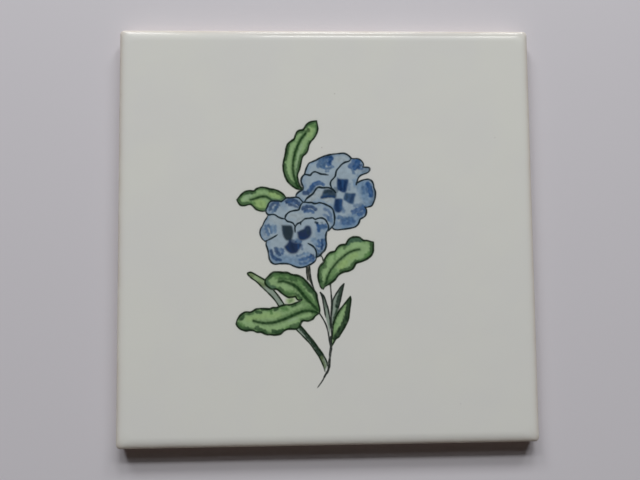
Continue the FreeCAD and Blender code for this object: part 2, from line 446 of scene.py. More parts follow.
# %% [markdown]
# ## Ink of the bloom behind
# The petal lines are drawn over the dry colour with a fine brush. They differ in weight, and the
# numbers after the ink tell how thick a line starts and ends. One green dab lies under the left
# line, where the leaf's colour touched it.

# %% Ink of the bloom behind
line(back_top, 0.62, petal_ink, 1.0, 1.3)
line(back_top_hem, 0.66, petal_ink, 0.8, 0.5)
dab([(-12.7, 23.8), (-12.2, 22.2)], 1.0, green_deep, 0.7, 0.8)
line(back_left, 0.68, petal_ink, 1.0)
line(back_left_hem, 0.72, petal_ink)
line(back_fold, 0.62, petal_ink)
line(back_lobe, 0.48, petal_ink, 1.0, 1.2)
line(back_tongue, 0.58, petal_ink, 0.9, 1.1)
line(back_right, 0.62, petal_ink, 1.0)
line(back_bottom, 0.64, petal_ink)
print("marks with the bloom behind:", len(marks))

# %% [markdown]
# ## Petal lines of the bloom in front
# The second pansy overlaps the first, and it is drawn the same way. Its crown is a line of both
# blooms, so it was written with the first one. The lower petals are wider and more ragged, so
# their line has the most points.

# %% Lines of the bloom in front
front_left_crown = [(-30, 11.2), (-29.1, 13), (-28.2, 15), (-27, 15.9), (-25, 16), (-23.1, 15.9),
                    (-22.5, 15.6), (-21.3, 16.3), (-19.8, 17.4), (-17.5, 17.5), (-15.3, 17.7),
                    (-13.9, 17.4), (-12.9, 16.4), (-12, 15.3)]
front_left_hem = [(-30, 11.2), (-28.7, 9.4), (-26.8, 9.5), (-25.4, 9.3), (-23.9, 8.3), (-22.3, 7.6),
                  (-20.6, 7.3)]
front_parting = [(-12, 15.2), (-13, 14), (-13.5, 12.7), (-14.1, 11.6), (-16, 11.3), (-18.1, 10.8),
                 (-19.5, 9.8), (-20.3, 8.7), (-20.6, 7.3)]
front_throat = [(-20.6, 7.3), (-19.4, 6.1), (-18.1, 5.8), (-16.8, 5.2), (-16, 3.9), (-15.9, 2.7),
                (-15.8, 0.9)]
front_right = [(-15.8, 2.6), (-15.4, 4.1), (-14.4, 5.1), (-13.1, 5.6), (-12.2, 6.4), (-11, 7.3), (-8.9, 7.5),
               (-7.3, 7.7), (-6.2, 7), (-4.6, 7.5), (-2.8, 7.6), (-1.3, 6.8), (-0.4, 5.3), (0.2, 3.8),
               (0.1, 2.3), (-0.7, 0.9)]
front_right_side = [(-0.7, 0.9), (-1.1, -0.9), (-1.1, -2.7), (-0.9, -4.7), (-1.1, -6.3), (-1.8, -7.9),
                    (-3, -9.2), (-4.1, -10.4), (-5.2, -11)]
front_corner = [(1.8, 3.2), (0.8, 2.1), (-0.3, 1.3)]
front_left = [(-28.7, 9.4), (-29.2, 8), (-30.3, 6.4), (-31.2, 4.4), (-32.2, 2.7), (-32.6, 1), (-32.3, -0.7),
              (-31.4, -2.3), (-30.2, -3.3)]
front_left_seam = [(-30.2, -3.4), (-28.4, -2.6), (-26.8, -1.8), (-25.4, -1), (-24.2, -0.2)]
front_bottom = [(-29.4, -3.2), (-29.7, -4.8), (-29.2, -6.5), (-28.7, -8.2), (-28.5, -9.8), (-28.1, -11.9),
                (-27.1, -13.5), (-25.6, -14.3), (-23.1, -14.1), (-20.6, -14.1), (-18.5, -14.4),
                (-16.8, -15.2), (-14.8, -15.9), (-12.7, -16), (-10.2, -15.3), (-7.9, -14.2), (-6.3, -12.9),
                (-5.6, -11.2)]
front_bottom_end = [(-5.7, -11.2), (-5.7, -9), (-6.4, -7), (-7.6, -5.7), (-9.7, -4.5)]
print("the bottom petal's line has", len(front_bottom), "points")

# %% [markdown]
# ## Petals of the bloom in front
# The wash is as pale as the first one, and its strokes are shorter and stronger. The painter set
# two or three side by side on most petals, which makes the rim look folded. They are dabs again,
# and the outline cuts off all but one of them.

# %% Petals of the bloom in front
bloom = wash([front_left_crown, front_crown, front_corner, front_right_side, front_bottom[::-1],
              front_left[::-1], front_left_hem[:2][::-1]], petal_pale, pool=petal_blue)
dab([(-17.6, 8.8), (-12.6, 8.6), (-14.4, 6.4)], 2.6, petal_grey, 0.7, 1.4, bloom)
dab([(-27, 7.6), (-23, 5.6)], 2.6, petal_grey, 0.5, 1.6, bloom)
dab([(-25, -11.4), (-18, -12.6), (-11, -13)], 4.6, petal_blue, 0.75, 2.4, bloom)
dab([(-4.4, 0.6), (-3.4, -6)], 3.6, petal_blue, 0.55, 2.4, bloom)
dab([(-22.2, 15), (-20.4, 12.6)], 2.4, petal_blue, 0.35, 2.0, bloom)
dab([(-27.7, 11.9), (-27.2, 13.6), (-26, 14.8), (-24.2, 15.3)], 1.7, blue_deep, 0.8, 0.8, bloom)
dab([(-25.2, 11.2), (-24.9, 12.8), (-23.6, 14)], (1.2, 1.6, 1.7), blue_deep, 0.75, 0.8, bloom)
dab([(-19.8, 15.6), (-18.4, 16.3), (-16.6, 16.3), (-14.9, 15.4), (-13.8, 14.3)], 1.9, blue_deep, 0.88, 0.7,
    bloom)
dab([(-19.5, 15), (-18.2, 14.6)], 1.2, blue_deep, 0.6, 0.9, bloom)
dab([(-18.6, 14.3), (-17, 13.8), (-15.2, 13.3), (-14.6, 13)], 1.3, blue_deep, 0.8, 0.8, bloom)
dab([(-18.4, 15.4), (-15.6, 14.6)], 1.2, blue_mid, 0.7, 0.8, bloom)
dab([(-12.2, 12.3), (-10.8, 13), (-9, 13.2), (-7.2, 12.7), (-5.8, 11.7)], 1.7, blue_deep, 0.88, 0.7, bloom)
dab([(-11.1, 10.9), (-9.6, 11.1), (-8.1, 11.1), (-7.2, 10.5)], 1.6, blue_mid, 0.85, 0.8, bloom)
dab([(-1.5, 11.9), (0.2, 11), (1.2, 9.4), (1.4, 7.6)], 1.5, blue_mid, 0.6, 0.8, bloom)
dab([(-1.9, 9.1), (-0.3, 8.3), (0.3, 6.8)], 1.4, blue_mid, 0.55, 0.8, bloom)
dab([(-29.8, 3.8), (-29.3, 1.6), (-28.6, -0.2)], 1.6, blue_light, 0.85, 0.9, bloom)
dab([(-28.5, 4.3), (-27.3, 2.8), (-27.1, 0.8)], 1.4, blue_light, 0.85, 0.8, bloom)
dab([(-25.4, 3.9), (-25, 2.4), (-25.2, 1)], 1.3, blue_light, 0.6, 0.8, bloom)
dab([(-31, 2.4), (-30.4, 0)], 1.2, blue_light, 0.4, 1.0, bloom)
dab([(-27.2, -7.8), (-27, -9.6), (-26, -11.2), (-24.6, -12), (-22.8, -12.4)], (1.6, 1.8, 1.5), blue_deep,
    0.85, 0.7, bloom)
dab([(-29.2, -1.7), (-27.6, -1)], 1.2, slate, 0.25, 1.0, bloom)
dab([(-25, -6.9), (-24.6, -8.4), (-23.4, -9.6)], 1.8, blue_deep, 0.85, 0.8, bloom)
dab([(-22.3, -7.1), (-21.6, -8.2), (-22, -9.2)], 1.5, blue_mid, 0.75, 0.9, bloom)
dab([(-15, -10.3), (-13, -10), (-11.4, -9)], 1.0, blue_light, 0.6, 0.9, bloom)
dab([(-13.9, -12.4), (-11.8, -12.1), (-9.8, -11.2), (-8.6, -10.4)], (1.2, 1.5, 1.5), blue_mid, 0.75,
    0.9, bloom)
dab([(-8, -10.2), (-7.2, -11.2)], 1.7, blue_deep, 0.85, 0.8, bloom)
dab([(-13.6, -14.2), (-11, -14), (-9, -12.9)], 1.2, blue_mid, 0.6, 0.9, bloom)
dab([(-5.2, 5), (-4.7, 3), (-4.5, 1.3)], 1.4, blue_mid, 0.95, 0.6, bloom)
dab([(-3.8, 3.6), (-2.6, 3.7), (-1.4, 3.8)], 2.2, blue_mid, 0.8, 0.8, bloom)
dab([(-5.9, 5.5), (-5.2, 5.3)], 1.2, green_black, 0.9, 0.5, bloom)
dab([(-3.2, 5.4), (-2.8, 5.3)], 1.0, slate, 0.4, 0.7, bloom)
dab([(-2.9, -2.8), (-2.8, -5), (-3.2, -7.2)], 1.3, blue_deep, 0.92, 0.6, bloom)
dab([(-4.9, -3.4), (-4.1, -4.2), (-4.2, -5.6)], 1.5, blue_mid, 0.8, 0.8, bloom)
dab([(-5.5, -5.8), (-4.8, -6)], 1.0, blue_mid, 0.8, 0.6, bloom)
dab([(-4.5, -7.8), (-4.1, -8.3)], 1.0, blue_light, 0.7, 0.7, bloom)
dab([(-6.4, -2.3), (-5.8, -2.7)], 1.0, slate, 0.3, 0.8, bloom)
dab([(-11.7, 11.5), (-10, 11.8)], 1.3, blue_deep, 0.7, 0.9, bloom)
dab([(-26.4, 11), (-24.6, 13)], 1.8, blue_light, 0.7, 1.0, bloom)
dab([(-8.6, -11.4), (-7.4, -12.8)], 2.0, blue_mid, 0.75, 1.0, bloom)
dab([(-3.6, 3.2), (-1.6, 3.2)], 2.4, blue_light, 0.7, 1.0, bloom)
dab([(-0.2, 7.8), (1.4, 6)], 1.6, blue_light, 0.7, 1.0, bloom)
dab([(-5.8, -7), (-5, -8.6)], 1.5, blue_light, 0.7, 1.0, bloom)
dab([(-7.2, -2.8), (-6, -4.6)], 2.4, petal_blue, 0.7, 1.4, bloom)
dab([(-26.4, 3.6), (-25.8, 1.6)], 2.2, petal_blue, 0.7, 1.2, bloom)
dab([(-15.2, -3.2), (-13.4, -3.8)], 1.8, blue_light, 0.85, 1.0, bloom)
dab([(-18, -3), (-16, -3.8)], 1.6, blue_deep, 0.7, 1.0, bloom)
dab([(-12.8, -5.4), (-12.5, -7)], 1.4, blue_light, 0.6, 1.0, bloom)
dab([(-24, -7), (-23, -8.4)], 1.3, blue_light, 0.65, 0.9, bloom)
dab([(-11.2, -9.8), (-9.8, -9.4)], 1.6, petal_blue, 0.8, 1.0, bloom)
dab([(-4.8, -10), (-3.6, -10.4)], 1.2, slate, 0.7, 0.8)
dab([(-4, -9.6), (-2.9, -8.6)], 1.2, slate, 0.6, 0.9, bloom)
dab([(-2.1, -2.8), (-2, -4.6)], 1.2, blue_light, 0.7, 0.9, bloom)
dab([(-1.5, -3), (-1.4, -6)], 1.1, blue_light, 0.7, 0.8, bloom)
report("bloom in front", bloom)

# %% [markdown]
# ## Blotches of the bloom in front
# This pansy shows three blotches. They are almost black, because the brush was full of cobalt, and
# the left one leans towards green. A little slate or blue in each keeps them from looking flat.

# %% Blotches of the bloom in front
front_blotch_left = [(-22.2, 4.3), (-20, 4.3), (-17.5, 4.1), (-16.8, 2.4), (-16.6, 0.4), (-17.5, -2.7),
                     (-19, -3.1), (-20.2, -2.9), (-21.4, -1.2), (-22, 1.5), (-22.2, 4.3)]
front_blotch_right = [(-14.9, 1), (-13.2, 1.9), (-11.8, 2.5), (-11, 3.6), (-10.1, 4.1), (-8.6, 3.7), (-8, 2),
                      (-7.9, 0.2), (-8.7, -1.5), (-10.3, -2.6), (-13, -3.1), (-14.3, -2), (-14.6, -0.6),
                      (-14.9, 1)]
front_blotch_bottom = [(-18.4, -2.6), (-16.8, -3.9), (-14.8, -4.2), (-13, -4.7), (-12.8, -5.6), (-14, -7.6),
                       (-15.2, -9.1), (-17.7, -9.4), (-19.5, -8.4), (-20.4, -7.4), (-21, -6), (-19.8, -4.6),
                       (-18.4, -2.6)]
wash([front_blotch_left], green_black, 0.95, 1.3)
dab([(-21.4, 3.4), (-21.2, 0.4)], 0.9, slate, 0.7, 0.9)
wash([front_blotch_right], indigo, 0.95, 1.4)
dab([(-9.8, 2.8), (-9.4, 0.2)], 1.5, slate, 0.8, 1.2)
dab([(-12.8, 1.3), (-11.4, 1.6)], 1.0, slate, 0.7, 1.0)
dab([(-13.6, -1.6), (-11.4, -2)], 1.0, blue_deep, 0.5, 1.0)
wash([front_blotch_bottom], indigo, 0.95, 1.4)
dab([(-14.4, -5), (-14, -7)], 1.0, blue_mid, 0.5, 1.0)
dab([(-19.6, -6), (-18.6, -8)], 1.0, blue_deep, 0.5, 1.0)
dab([(-17.6, -4.6), (-16.6, -7.6)], 1.3, green_black, 0.35, 1.2)
report("left blotch", np.array(front_blotch_left))

# %% [markdown]
# ## Ink of the bloom in front
# The lines of the front bloom also part it from the one behind, so its crown is drawn now, over
# both. Some lines don't reach their neighbour and end in a thin point, as a brush leaves the tile.

# %% Ink of the bloom in front
line(front_left_crown, 0.62, petal_ink)
line(front_left_hem, 0.6, petal_ink)
line(front_parting, 0.64, petal_ink)
line(front_crown, 0.64, petal_ink, 0.9, 0.9)
line(front_corner, 0.6, petal_ink, 1.0, 0.6)
line(front_throat, 0.58, petal_ink, 0.9, 0.5)
line(front_right, 0.62, petal_ink)
line([(-13.1, 5.8), (-13.1, 4.5)], 0.7, petal_ink, 1.0, 0.5)
line(front_right_side, 0.7, petal_ink, 0.8, 0.9)
line(front_left, 0.48, petal_ink, 0.4)
line(front_left_seam, 0.56, petal_ink, 1.0, 0.5)
line(front_bottom, 0.64, petal_ink)
line(front_bottom_end, 0.64, petal_ink, 1.0, 0.5)
print("marks with both blooms:", len(marks))

# %% [markdown]
# ## The right leaf
# The broadest leaf stands by itself under the blooms. One wave of its upper rim is bluer than the
# rest, where cobalt got into the green, and the shade along its lower rim is broad.

# %% Right leaf
right_top = [(21.7, -4.1), (20.1, -3.8), (18.6, -3.4), (17, -3.3), (16, -2.6), (14.9, -1.8), (12.4, -1.6),
             (10.4, -2.3), (9.2, -3.6), (8.4, -5.1), (7.4, -5.2), (5.8, -5.5), (4.3, -6.6), (3.3, -8.3),
             (2, -8.7), (0.5, -9.2), (-0.7, -10.4), (-1.7, -12), (-2.2, -13.5), (-3.4, -14.7), (-4.5, -16.1),
             (-4.9, -18.4), (-4.9, -21.4), (-4.1, -24.8), (-3.2, -26.2)]
right_bottom = [(-2.6, -26.4), (-1.8, -25.2), (-0.1, -24.2), (1.6, -23.1), (3.2, -21.7), (4.7, -19.8),
                (6.9, -18.4), (9.5, -17.9), (11.4, -17), (12.4, -15.6), (13.2, -14.2), (15.2, -13.6),
                (17.7, -12.6), (20.2, -10.9), (21.4, -9), (21.6, -6.6), (21.7, -4.1)]
leaf = wash([right_top, right_bottom], leaf_light, pool=leaf_mid)
dab([(8, -13.6), (5.8, -15.6)], 3.2, leaf_yellow, 0.7, 1.6, leaf)
dab([(10.4, -11.4), (13, -10.2)], 2.6, leaf_yellow, 0.6, 1.6, leaf)
dab([(8.7, -4.4), (10.4, -3.1), (12.6, -2.5), (15.6, -2.7)], 3.2, leaf_teal, 0.88, 0.9, leaf)
dab([(21.2, -4.4), (21.1, -7.5), (20.4, -10.2)], 2.6, leaf_shade, 0.85, 0.8, leaf)
dab([(20, -11), (17, -12.7), (14.2, -13.8)], 2.2, leaf_shade, 0.75, 0.8, leaf)
dab([(19.4, -9.6), (17.8, -10.8)], 1.8, leaf_mid, 0.8, 1.0, leaf)
dab([(13.2, -14), (12, -15.2), (11.2, -16.6), (9, -17.6), (6.4, -18.4)], 3.0, leaf_shade, 0.82, 0.9, leaf)
dab([(4.6, -19.8), (2.6, -21.8), (-0.8, -24)], 2.8, leaf_shade, 0.7, 1.0, leaf)
dab([(-3.4, -15), (-4.6, -18), (-4.4, -22.4)], 2.9, leaf_shade, 0.75, 1.0, leaf)
dab([(-1.9, -12.8), (-1.7, -15.8)], 2.0, leaf_shade, 0.65, 0.9, leaf)
dab([(-1.2, -11.2), (0.6, -9.6), (2.4, -9)], 1.5, leaf_shade, 0.6, 0.7, leaf)
dab([(3, -8.8), (3.3, -10.6), (3.1, -12)], 1.1, leaf_mid, 0.55, 0.9, leaf)
dab([(4.1, -7.1), (6, -5.9), (7.8, -5.9), (7.6, -7.2)], 1.2, leaf_shade, 0.6, 0.7, leaf)
dab([(-0.4, -21), (1.4, -19.8), (3, -17.4)], 2.2, leaf_mid, 0.65, 1.2, leaf)
dab([(-3.8, -22.6), (-2.8, -25.2)], 2.0, leaf_shade, 0.7, 1.0, leaf)
midrib([(14.9, -7.6), (12.7, -8), (9.9, -9), (7.4, -10.8), (4.9, -12.9), (2.4, -15.6), (0.5, -18.3),
        (-0.7, -21.2), (-1.4, -23.6)], 1.25, leaf)
line(right_top, 0.72, leaf_ink)
line(right_bottom, 0.76, leaf_ink)
report("right leaf", leaf)

# %% [markdown]
# ## The grass blade
# A long blade runs behind the pair of leaves at the left, so it is painted before them and in
# two parts: the blade above the pair, and its foot below. The foot is nearly black along its
# middle and turns olive at the end.

# %% Grass blade
blade_upper = [(-38.4, -18.3), (-36.9, -18.1), (-35.1, -19), (-32.8, -20.3), (-30.1, -21.9), (-26.5, -26.3),
               (-24.5, -28.7), (-22.6, -31.4), (-21.1, -33.6)]
blade_lower = [(-38.4, -18.3), (-38.5, -18.9), (-36.8, -20.7), (-34.1, -22.7), (-31.4, -25.4), (-28.7, -28),
               (-26.5, -30.3), (-24.9, -32.4), (-23.7, -34.4)]
foot_upper = [(-14, -43.2), (-12.2, -45.2), (-9.5, -48.4), (-6.6, -52.1), (-4.5, -55.1), (-3, -57.3),
              (-1.5, -60.1), (-0.9, -62.3)]
foot_lower = [(-15.9, -45), (-12, -49), (-9.2, -52), (-6.7, -55.5), (-4.6, -58.9), (-3.1, -62.1),
              (-2.2, -65.2)]
blade = wash([blade_upper, blade_lower[::-1]], grey_green)
dab([(-37.8, -18.8), (-34.4, -20.6), (-31, -23)], 2.6, leaf_yellow, 0.6, 1.2, blade)
dab([(-38, -18.8), (-36.6, -19.6)], 1.8, leaf_olive, 0.8, 1.0, blade)
dab([(-33, -23), (-30.6, -24.6)], 1.6, leaf_olive, 0.8, 1.0, blade)
foot = wash([foot_upper, foot_lower[::-1]], grey_green)
dab([(-13.8, -44), (-10.6, -48.1), (-7.4, -52.2), (-4.9, -56.2), (-3.9, -58.5)], (2, 1.9, 2.3), green_deep,
    0.96, 0.7, foot)
dab([(-3.8, -58.8), (-2.4, -63)], 1.8, leaf_olive, 0.8, 1.0, foot)
dab([(-35, -19.3), (-31, -21.6)], 1.0, leaf_olive, 0.5, 0.9)
line(blade_upper[:5], 0.6, leaf_ink, 0.9, 0.9)
line(blade_upper[5:], 0.6, leaf_ink, 0.9, 0.9)
line(blade_lower, 0.56, leaf_ink, 0.9, 0.9)
line(foot_upper, 0.62, leaf_ink, 0.9, 0.8)
line(foot_lower, 0.5, leaf_ink, 0.9, 0.5)
report("grass blade", np.vstack([blade, foot]))

# %% [markdown]
# ## The upper leaf of the pair
# Two leaves grow from one point at the left of the stalk. The upper one arches over, so its
# shade lies on both sides of the midrib. A pale yellow smudge fills the gap below it, where the
# brush slipped over the line, so no outline holds it in.

# %% Upper leaf of the pair
pair_upper_top = [(-29.9, -21.2), (-28.2, -19.6), (-26.5, -18.2), (-24.3, -18), (-21.9, -18.3),
                  (-19.4, -18.4), (-17.6, -19.3), (-14.8, -19.8), (-12.4, -20.9), (-10.6, -22.7),
                  (-9, -24.6), (-7.4, -26.5), (-6, -28.4), (-5.6, -30.7), (-5, -33.3), (-4.4, -36),
                  (-4.6, -37.7)]
pair_upper_bottom = [(-29.9, -21.2), (-30.3, -22.7), (-29.8, -24.1), (-28.5, -25.3), (-27, -26.2),
                     (-25.1, -26.1), (-23.8, -26.8), (-22.4, -28.1), (-20.6, -29.4), (-19.2, -30.1),
                     (-17.4, -30), (-15.9, -29.8), (-15.2, -30.9), (-14.2, -31.5), (-12.8, -31.1)]
leaf = wash([pair_upper_top, [(-4.6, -37.7), (-13.2, -31.8)], pair_upper_bottom[::-1]], leaf_light,
            pool=leaf_mid)
dab([(-29.2, -20.6), (-26.6, -18.9), (-23.8, -18.5)], 2.8, leaf_shade, 0.8, 0.8, leaf)
dab([(-22.6, -19), (-22.4, -20.8)], 1.6, leaf_shade, 0.65, 0.8, leaf)
dab([(-21.5, -18.9), (-19, -19.1), (-16.6, -20)], 2.5, leaf_shade, 0.8, 0.8, leaf)
dab([(-15.2, -20.2), (-12.2, -21.6), (-10, -24.4), (-8.2, -26.8)], 2.9, leaf_shade, 0.8, 0.9, leaf)
dab([(-8.2, -26.8), (-6.2, -30), (-5.2, -34.4)], 2.2, leaf_shade, 0.65, 1.0, leaf)
dab([(-29.6, -23), (-28.2, -24.9), (-26.2, -25.6)], 2.4, leaf_teal, 0.75, 0.8, leaf)
dab([(-23.4, -26.2), (-21.8, -27.8), (-19.4, -29.1), (-16, -29.1)], 2.5, leaf_shade, 0.78, 0.9, leaf)
dab([(-20.4, -27.6), (-17, -27.6)], 1.8, leaf_mid, 0.6, 1.2, leaf)
dab([(-13, -25.4), (-10.4, -28.6), (-8, -31.8)], 1.6, leaf_mid, 0.6, 1.0, leaf)
dab([(-25, -20.4), (-20.5, -20.8), (-16.4, -21.8), (-13.2, -24)], 2.4, leaf_mid, 0.75, 1.4, leaf)
dab([(-23.4, -21.4), (-21, -21.4)], 1.6, leaf_shade, 0.6, 1.2, leaf)
dab([(-18.4, -21.4), (-15.6, -22)], 1.8, leaf_shade, 0.6, 1.2, leaf)
dab([(-11.6, -23.8), (-9.8, -26.4)], 1.8, leaf_shade, 0.6, 1.2, leaf)
dab([(-14.8, -29.4), (-13.2, -30.6)], 1.6, leaf_shade, 0.85, 1.0, leaf)
dab([(-6.8, -28.4), (-5.6, -31.6)], 1.6, leaf_shade, 0.5, 1.2, leaf)
dab([(-16, -24.2), (-12, -28.2), (-8.8, -32), (-6, -35.4)], (2.2, 3.6, 3.6), leaf_mid, 0.55, 1.6, leaf)
midrib([(-23.8, -22.8), (-21.5, -22.5), (-19.2, -23.2), (-16.9, -24.2), (-14.6, -26), (-12.4, -28.6),
        (-9.8, -31.8), (-7.4, -34.2), (-5.4, -36.4)], (1.2, 1.8, 1.9, 1.6), leaf)
dab([(-18.8, -31.8), (-16.8, -31.2)], 4.6, leaf_yellow, 0.35, 1.6)
dab([(-18.8, -31.9), (-17.4, -31.5)], 2.6, leaf_yellow, 0.7, 1.2)
dab([(-18.6, -31.8), (-18, -31.6)], 1.6, leaf_mid, 0.5, 1.2)
report("upper leaf of the pair", leaf)

# %% [markdown]
# ## The lower leaf of the pair
# The longest leaf lies over the foot of its neighbour, so it is painted second. Its band is
# broken into many short touches, because the rim waves more here. The ink of both leaves comes
# last, when all of their colour is down.

# %% Lower leaf of the pair
pair_lower_top = [(-12.9, -31.5), (-14.3, -32.2), (-16.5, -33.1), (-18.7, -33.7), (-20.2, -33.6),
                  (-21.4, -33.8), (-22.8, -34.1), (-24.6, -34.8), (-26.5, -34.9), (-28.3, -35.5),
                  (-30.4, -35.3), (-32.8, -35.3), (-34.6, -35.6), (-36, -36.4), (-37.2, -36.9),
                  (-39.2, -36.8), (-40.8, -37.4), (-42.2, -38.6), (-43.4, -40.4), (-44, -42.3)]
pair_lower_bottom = [(-44, -42.3), (-43.2, -43.7), (-41.8, -44.9), (-39.4, -45.6), (-37.4, -45.4),
                     (-35.8, -45.6), (-34.2, -46.3), (-31.9, -46.4), (-30, -47.4), (-27.8, -47.6),
                     (-25.1, -47.7), (-22.8, -47.2), (-21.3, -45.8), (-19.2, -45), (-16, -45.1),
                     (-14.2, -44.2), (-13.5, -42.6), (-12.4, -41.2), (-10.1, -41.4), (-7.8, -40.5),
                     (-6.7, -39.2), (-4.6, -37.7)]
leaf = wash([pair_lower_top, pair_lower_bottom, [(-4.6, -37.7), (-12.9, -31.6)]], leaf_light, pool=leaf_mid)
dab([(-38, -40), (-30, -38.6), (-24, -38.4)], 2.6, leaf_yellow, 0.5, 1.8, leaf)
dab([(-41.6, -40.1), (-40.6, -39.2)], 1.7, leaf_shade, 0.9, 0.6, leaf)
dab([(-42.6, -39.6), (-40.6, -38.1), (-37.6, -37.7)], 1.1, leaf_shade, 0.6, 0.7, leaf)
dab([(-34.3, -36.8), (-32.4, -37.1)], 1.6, leaf_shade, 0.9, 0.6, leaf)
dab([(-31.8, -35.8), (-29.6, -35.8), (-27.4, -36)], 1.2, leaf_shade, 0.8, 0.7, leaf)
dab([(-30.9, -35.4), (-28.7, -35.6)], 0.9, green_deep, 0.85, 0.6)
dab([(-15.8, -33.3), (-13.8, -32.6)], 1.3, leaf_shade, 0.6, 0.9, leaf)
dab([(-27.6, -36.2), (-27.2, -37.7)], 1.2, leaf_mid, 0.8, 0.7, leaf)
dab([(-25.7, -35.9), (-24.6, -35.4)], 1.5, leaf_shade, 0.9, 0.6, leaf)
dab([(-22.6, -34.7), (-20.4, -35.4)], 1.7, leaf_mid, 0.8, 0.8, leaf)
dab([(-17.5, -34.2), (-16.1, -33.8)], 1.3, leaf_shade, 0.85, 0.6, leaf)
dab([(-43.4, -43), (-41.6, -44.6), (-38.4, -45.2)], 2.9, leaf_shade, 0.85, 0.8, leaf)
dab([(-38.4, -45.2), (-35.6, -45)], 1.4, leaf_shade, 0.6, 0.8, leaf)
dab([(-34.2, -44.3), (-32.6, -45.3), (-30.2, -46.2)], 2.1, leaf_shade, 0.85, 0.8, leaf)
dab([(-26.5, -45.9), (-24.4, -46.3), (-22, -45.7)], 1.9, leaf_shade, 0.92, 0.7, leaf)
dab([(-29.6, -46.9), (-27, -47.1), (-23, -46.8)], 1.4, leaf_shade, 0.6, 0.8, leaf)
dab([(-20.4, -44.7), (-18.6, -43.9)], 1.2, leaf_mid, 0.7, 0.7, leaf)
dab([(-17.4, -44.2), (-14.6, -43.4)], 2.8, leaf_shade, 0.75, 0.9, leaf)
dab([(-13, -41.1), (-10, -40.6), (-7.4, -39.5)], 1.9, leaf_shade, 0.6, 0.9, leaf)
dab([(-12.4, -35.6), (-8.8, -35.4)], 1.8, leaf_mid, 0.25, 1.2, leaf)
dab([(-38, -37.9), (-36, -37.4)], 1.2, leaf_shade, 0.6, 0.8, leaf)
dab([(-42.2, -42.4), (-40.6, -43.2)], 1.6, leaf_mid, 0.7, 1.0, leaf)
dab([(-22, -36.2), (-19.4, -36.2)], 1.6, leaf_mid, 0.6, 1.2, leaf)
dab([(-7.8, -36.8), (-5.4, -37.6)], 2.0, green_deep, 0.6, 1.2, leaf)
dab([(-24, -40.6), (-17, -38), (-11, -36.4), (-6.4, -37)], (2.0, 3.4, 3.0), leaf_mid, 0.42, 1.6, leaf)
midrib([(-35.7, -41), (-33.3, -41.7), (-30.5, -42.1), (-26.9, -42), (-23.7, -41.2), (-20.5, -40.1),
        (-17.4, -38.7), (-14.2, -37.4), (-11, -36.6), (-7.8, -36.9), (-5.4, -37.5)],
       (1.3, 1.7, 1.8, 1.4), leaf)
dab([(-19, -41.3), (-15.2, -39.9)], 1.1, leaf_pale, 0.6, 0.8, leaf)
dab([(-11, -38.2), (-9, -37.9)], 1.1, leaf_light, 0.6, 0.8, leaf)
dab([(-10.8, -33.2), (-9, -33.8)], 1.2, leaf_light, 0.5, 1.0)
line(pair_upper_top, 0.76, leaf_ink)
line(pair_upper_bottom, 0.7, leaf_ink)
line(pair_lower_top, 0.7, leaf_ink)
line(pair_lower_bottom, 0.74, leaf_ink)
report("lower leaf of the pair", leaf)

# %% [markdown]
# ## Three lance leaves
# Three narrow leaves stand beside the stalk. They are painted with hardly any water: grey green
# on one side and nearly black on the other, and only the broad one is as green as the rest.

# %% Lance leaves
small_left = [(-4, -28), (-3.1, -30.3), (-2.7, -33.1), (-2.2, -35.9), (-1.6, -39.8), (-0.5, -44.2),
              (0.2, -48.1)]
small_right = [(-4, -28), (-2.3, -29.9), (-1.3, -32.6), (-0.5, -35.3), (0, -38.1), (0.5, -41.4), (0.6, -45)]
wash([small_left, small_right[::-1]], grey_green)
dab([(-3.2, -29.6), (-2, -32.4), (-1.4, -35)], 1.0, green_deep, 0.6, 0.9)
tall_left = [(7.3, -23.9), (5.8, -25.3), (4.2, -27.6), (2.8, -29.9), (1.9, -32), (1.5, -35.3), (1.3, -38.7)]
tall_right = [(7.3, -23.9), (6.6, -27), (5.9, -29.8), (5.3, -32.6), (4.5, -35.3), (3.6, -38.1), (2.6, -40.3),
              (1.8, -43.1), (1.3, -46.4)]
tall = wash([tall_left, tall_right[::-1]], grey_green)
dab([(7, -24.6), (5.8, -28), (4.8, -31.4), (4, -34.6)], 2.2, green_deep, 0.92, 0.8, tall)
dab([(4.2, -35), (3, -38.6), (1.8, -43)], 1.2, green_deep, 0.8, 0.6, tall)
broad_left = [(10.3, -29.9), (8.7, -32), (7, -34), (5.1, -36.4), (3.6, -38.8), (2.5, -41.4), (1.8, -44.2),
              (1.6, -47.6), (1.2, -49.8)]
broad_right = [(10.3, -29.9), (10.5, -31.4), (10.1, -34.8), (9.6, -38.1), (9, -41.4), (7.4, -44.5),
               (5.8, -47), (4.7, -48.9), (3, -50.1), (1.9, -52), (0.9, -53.7)]
broad = wash([broad_left, broad_right[::-1]], leaf_light)
dab([(10, -31), (9.4, -35), (8.5, -39), (7, -43), (5, -46.4), (2.8, -49.6)], 2.7, green_deep, 0.96,
    0.9, broad)
dab([(3.2, -43), (2.2, -47.4)], 1.6, leaf_mid, 0.4, 1.0, broad)
dab([(8.4, -32.8), (5.6, -36.2), (3.7, -39.4)], 1.3, leaf_shade, 0.7, 0.9, broad)
dab([(4.4, -36.4), (3.3, -38.8), (2.4, -42.4)], 1.5, leaf_shade, 0.75, 0.9)
line(small_left[:5], 0.52, stem_ink, 1.2, 0.3)
line(small_right, 0.56, stem_ink, 1.2, 0.3)
line(tall_left, 0.54, stem_ink, 0.8, 0.6)
line(tall_right[:5], 0.56, stem_ink, 0.8, 0.8)
line(broad_left, 0.6, leaf_ink, 0.8, 0.9)
line(broad_right, 0.6, leaf_ink, 0.8, 0.9)
report("broad lance leaf", broad)

# %% [markdown]
# ## Stalks
# The short stalk under the front bloom is wide enough for two edges and a brown wash between
# them. The others are single lines that run together in the main stalk, which ends in a tail
# that fades as the brush runs dry.

